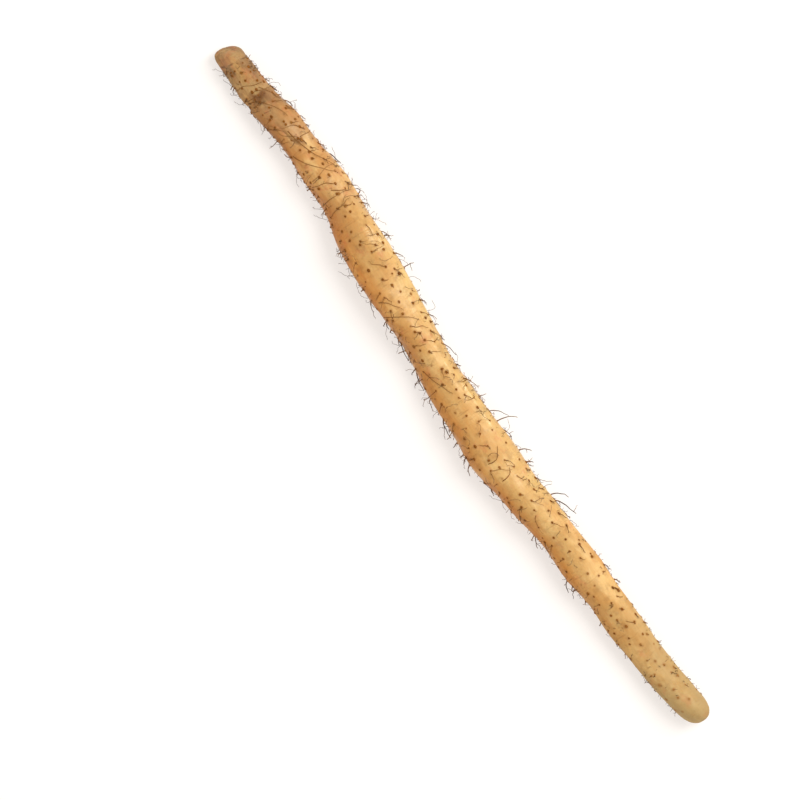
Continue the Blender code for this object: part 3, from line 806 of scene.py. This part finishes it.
show("rootlets", rootlet_mesh, root_material("wiry_root", near=(116, 72, 28), far=(58, 47, 42)))


# Side roots branch off the rootlets, anywhere but near their foot. They are thinner tubes that start on a
# point of a rootlet and bend away from it.

SIDE_ROOTS = 200
BRANCH_LENGTH, BRANCH_SHORT = (2.5 * MM, 9 * MM), 1.6  # where the rootlets are longest
LONGEST_ROOTLETS = 18 * MM
BRANCH_RADII = (0.13 * MM, 0.19 * MM)
BRANCH_FIRST = 3  # none branch off before this point of a rootlet
BRANCH_BEND, BRANCH_DROOP, BRANCH_LOWEST = 1.6, 0.35, 0.15 * MM
BRANCH_KINK, BRANCH_FLOOR_GAP = 0.4 * MM, 0.3 * MM
BRANCH_POINTS, BRANCH_SIDES = 8, 4

draws = weather.random((SIDE_ROOTS, 6))
parent = (draws[:, 0] * len(rooted_place)).astype(int)
joint = (BRANCH_FIRST + draws[:, 1] * (ROOTLET_POINTS - BRANCH_FIRST - 1)).astype(int)
side_share = np.linspace(0, 1, BRANCH_POINTS)[None, :]
side_length = spread(BRANCH_LENGTH, draws[:, 2], BRANCH_SHORT)
side_length = (side_length * along(ROOTLET_LONGEST, rooted_place[parent]) / LONGEST_ROOTLETS)[:, None]
side_reach = side_length * side_share
bearing = 2 * np.pi * draws[:, 3, None] + BRANCH_BEND * (draws[:, 4, None] - 0.5) * side_share
side_rise = rootlet_rise[parent, joint][:, None] + side_reach * (draws[:, 5, None] - BRANCH_DROOP)
side_rise = np.maximum(side_rise, BRANCH_LOWEST)
side_here = rootlet_here[parent, joint][:, None] + side_reach * (0.3 + 0.6 * np.cos(bearing))
side_here = np.clip(side_here, WART_BARE_CROWN, LENGTH - TIP_CLEAR)
side_turned = (rootlet_turned[parent, joint][:, None]
               + side_reach * np.sin(bearing) / (along(WIDTH, side_here) / 2 + side_rise))
side_lines = kink(off_skin(side_here, side_turned, side_rise), BRANCH_KINK)
side_lines += (rootlet_lines[parent, joint + 1] - side_lines[:, 0])[:, None]
side_lines[..., 2] = np.maximum(side_lines[..., 2], BRANCH_FLOOR_GAP)
side_radii = np.repeat(spread(BRANCH_RADII, 1 - side_share), SIDE_ROOTS, 0)
side_mesh = tubes_mesh("side_roots", side_lines, side_radii, BRANCH_SIDES)
show("side_roots", side_mesh, root_material("side_root", near=(98, 66, 36), far=(84, 72, 60)))


# Long strands have fallen over and lie on the skin, most of them across it. They are tapered tubes that
# follow it a little above. One tangle lies by the middle.

STRANDS, TANGLED = 62, 22
STRAND_PLACES, STRANDS_AT_NECK = (30 * MM, LENGTH - 50 * MM), 1.7  # the power that brings most near the neck
STRAND_TURNS = (0.1, 3.0)
TANGLE_PLACE, TANGLE_TURN = 288 * MM, 0.3
TANGLE_LONG, TANGLE_ROUND = 26 * MM, 1.1
HALF_WIDTH = 13 * MM  # of the yam, on average
STRAND_BEARINGS = (-0.8, 2.34)  # the two ways they lie over the skin, in radians from the tip
STRANDS_FIRST_WAY, STRAND_STRAYS = 0.6, 1.2
STRAND_LENGTH, STRANDS_SHORT, TANGLED_LENGTH = (8 * MM, 24 * MM), 1.4, 9 * MM
STRAND_RADII = (0.2 * MM, 0.1 * MM)
STRAND_KINK, LAID_STOUTER = 0.4 * MM, 1.25
STRAND_POINTS, STRAND_SIDES = 14, 4
# The longest that show, each by its start, middle and end: millimetres from the crown, and how far across
# the top from its middle, as a share of half the width.
LAID_ROOTS = [[(33, 0.31), (43, 0.80), (52, 0.96)], [(38, -0.90), (47, 0.10), (61, 0.40)],
              [(69, -0.11), (86, 0.22), (107, 0.87)], [(85, -0.65), (98, -0.11), (110, 0.70)],
              [(119, -0.07), (123, 0.35), (126, 0.79)], [(124, -0.92), (124, 0.0), (126, 0.79)],
              [(200, -0.70), (205, -0.34), (214, 0.02)], [(210, -0.88), (218, -0.07), (229, 0.74)],
              [(255, -0.79), (266, -0.45), (279, 0.02)], [(347, -0.34), (346, 0.10), (342, 0.29)],
              [(332, -0.34), (332, 0.10), (325, 0.34)], [(379, -0.20), (384, -0.45), (392, -0.52)]]

draws = weather.random((STRANDS, 7))
strand_place = spread(STRAND_PLACES, draws[:, 0], STRANDS_AT_NECK)
strand_turn = spread(STRAND_TURNS, draws[:, 1])
strand_place[:TANGLED] = TANGLE_PLACE + TANGLE_LONG * (draws[:TANGLED, 0] - 0.5)
strand_turn[:TANGLED] = TANGLE_TURN + TANGLE_ROUND * (draws[:TANGLED, 1] - 0.5)
nearest = np.argmin((wart_place - strand_place[:, None]) ** 2
                    + ((wart_turn - strand_turn[:, None]) * HALF_WIDTH) ** 2, axis=1)
strand_place[TANGLED:], strand_turn[TANGLED:] = wart_place[nearest[TANGLED:]], wart_turn[nearest[TANGLED:]]
strand_share = np.linspace(0, 1, STRAND_POINTS)[None, :]
strand_length = spread(STRAND_LENGTH, draws[:, 2], STRANDS_SHORT)[:, None]
bearing = np.where(draws[:, 3] < STRANDS_FIRST_WAY, *STRAND_BEARINGS)
bearing = bearing + STRAND_STRAYS * (2 * draws[:, 4] - 1) ** 3
bearing[:TANGLED] = 2 * np.pi * draws[:TANGLED, 3]
bearing = (bearing[:, None] + 1.6 * (draws[:, 5, None] - 0.5) * strand_share
           + 0.3 * np.sin(9 * strand_share + 7 * draws[:, 6, None]))
# They are longest near the neck and shortest towards the tip.
strand_length = strand_length * (1 + 0.6 * rising(strand_place, 160 * MM, 80 * MM)[:, None])
strand_length = strand_length * (1 - 0.7 * rising(strand_place, 392 * MM, 462 * MM)[:, None])
strand_length[:TANGLED] = TANGLED_LENGTH * (0.5 + draws[:TANGLED, 2:3])
strand_here = strand_place[:, None] + strand_length * np.cumsum(0.7 * np.cos(bearing), 1) / STRAND_POINTS
strand_here = np.clip(strand_here, WART_BARE_CROWN, LENGTH - 6 * MM)
strand_turned = strand_turn[:, None] + (strand_length * np.cumsum(np.sin(bearing), 1) / STRAND_POINTS
                                        / (along(WIDTH, strand_here) / 2))
start, middle, end = np.moveaxis(np.array(LAID_ROOTS), 1, 0)[..., None]
laid = start * (1 - strand_share) * (1 - 2 * strand_share) + end * strand_share * (2 * strand_share - 1)
laid = laid + middle * 4 * strand_share * (1 - strand_share)  # a parabola through the three
strand_here = np.concatenate([strand_here, laid[:, 0] * MM])
strand_turned = np.concatenate([strand_turned, np.arccos(np.clip(laid[:, 1], -1, 1))])
draws = np.concatenate([draws, weather.random((len(LAID_ROOTS), 7))])
strand_wave = 1 + np.sin(2 * np.pi * (1.5 * strand_share + draws[:, 6, None]))
strand_rise = 0.3 * MM + 0.5 * MM * strand_wave * strand_share
strand_lines = kink(off_skin(strand_here, strand_turned, strand_rise), STRAND_KINK)
strand_radii = spread(STRAND_RADII, strand_share) * spread(STOUTNESS, draws[:, 6, None])
strand_radii[STRANDS:] *= LAID_STOUTER
strand_mesh = tubes_mesh("strands", strand_lines, strand_radii, STRAND_SIDES)
show("strands", strand_mesh, root_material("strand", near=(112, 70, 30), far=(126, 86, 44)))


# Fine hairs are thin loose roots, a quarter of a millimetre thick. Dry, they are dark grey-brown and curl
# loosely. They stand all along the yam, mostly at its sides: on top most are rubbed off.

HAIRS = 370
HAIR_LENGTH = (4 * MM, 15 * MM)
HAIR_RADIUS, HAIR_KINK = 0.13 * MM, 0.5 * MM
HAIR_PLACES, HAIR_TURNS = (10 * MM, LENGTH - 16 * MM), (-0.4, 3.5)
HAIR_CURL = 3
HAIR_SIDE, HAIRS_ON_TOP = 0.7, 0.2  # where the sides start, as a cosine, and the share left on top
HAIR_POINTS, HAIR_SIDES = 9, 3

draws = weather.random((HAIRS, 8))
hair_turn = spread(HAIR_TURNS, draws[:, 1])
hairs_left = (np.abs(np.cos(hair_turn)) > HAIR_SIDE) | (draws[:, 6] < HAIRS_ON_TOP)
draws, hair_turn = draws[hairs_left], hair_turn[hairs_left, None]
hair_share = np.linspace(0, 1, HAIR_POINTS)[None, :]
hair_place = spread(HAIR_PLACES, draws[:, :1])
hair_length = spread(HAIR_LENGTH, draws[:, 2:3]) * np.clip((LENGTH - hair_place) / (200 * MM), 0.2, 1)
hair_reach = hair_length * hair_share
bearing = 2 * np.pi * draws[:, 3:4] + HAIR_CURL * (draws[:, 4:5] - 0.5) * hair_share
hair_rise = hair_reach * (0.2 + 0.7 * draws[:, 5:6]) * (1.2 - 0.5 * hair_share)
hair_here = np.clip(hair_place + 0.6 * hair_reach * np.cos(bearing), 8 * MM, LENGTH - TIP_CLEAR)
hair_turned = hair_turn + 0.7 * hair_reach * np.sin(bearing) / (along(WIDTH, hair_here) / 2 + hair_rise)
hair_lines = kink(off_skin(hair_here, hair_turned, hair_rise), HAIR_KINK)
hair_radii = np.full(hair_lines.shape[:2], HAIR_RADIUS)
hair_mesh = tubes_mesh("fine_hairs", hair_lines, hair_radii, HAIR_SIDES)
show("fine_hairs", hair_mesh, root_material("fine_hair", near=(80, 60, 42), far=(76, 67, 60)))


# Stubs are what is left of broken roots: stiff, dark, one to four millimetres long. They are short tubes
# that bristle along the sides, and most of those on top are rubbed off.

STUBS = 760
STUB_PLACES, STUBS_AT_NECK = (WART_BARE_CROWN, LENGTH - WART_BARE_TIP), 1.25
STUB_LENGTH, STUBS_SHORT = (0.9 * MM, 3.0 * MM), 1.5
STUB_RADII = (0.09 * MM, 0.16 * MM)
STUB_SIDE, STUBS_ON_TOP = 0.75, 0.2
STUB_POINTS, STUB_SIDES, STUB_BOX_MARGIN = 4, 4, 0.2 * MM

draws = weather.random((STUBS, 5))
stub_place = spread(STUB_PLACES, draws[:, 0], STUBS_AT_NECK)
stub_turn = 2 * np.pi * draws[:, 1]
stubs_left = (np.abs(np.cos(stub_turn)) > STUB_SIDE) | (draws[:, 4] < STUBS_ON_TOP)
stubs_left &= skin(stub_place, stub_turn)[:, 2] > WART_LEAST_HEIGHT
stub_place, stub_turn, draws = stub_place[stubs_left, None], stub_turn[stubs_left, None], draws[stubs_left]
stub_share = np.linspace(0, 1, STUB_POINTS)[None, :]
stub_length = spread(STUB_LENGTH, draws[:, 2:3], STUBS_SHORT)
stub_lean = stub_length * stub_share**1.5 * 0.8
bearing = 2 * np.pi * draws[:, 3:4]
stub_here = stub_place + stub_lean * np.cos(bearing)
stub_turned = stub_turn + stub_lean * np.sin(bearing) / (along(WIDTH, stub_place) / 2)
stub_lines = off_skin(stub_here, stub_turned, stub_length * (stub_share - 0.1))
stub_radii = spread(STUB_RADII, (1 - stub_share) * (0.6 + 0.8 * draws[:, 4:5]))
stub_mesh = tubes_mesh("stubs", stub_lines, stub_radii, STUB_SIDES, margin=STUB_BOX_MARGIN)
show("stubs", stub_mesh, root_material("stub", near=(84, 56, 26), far=(72, 54, 38)))
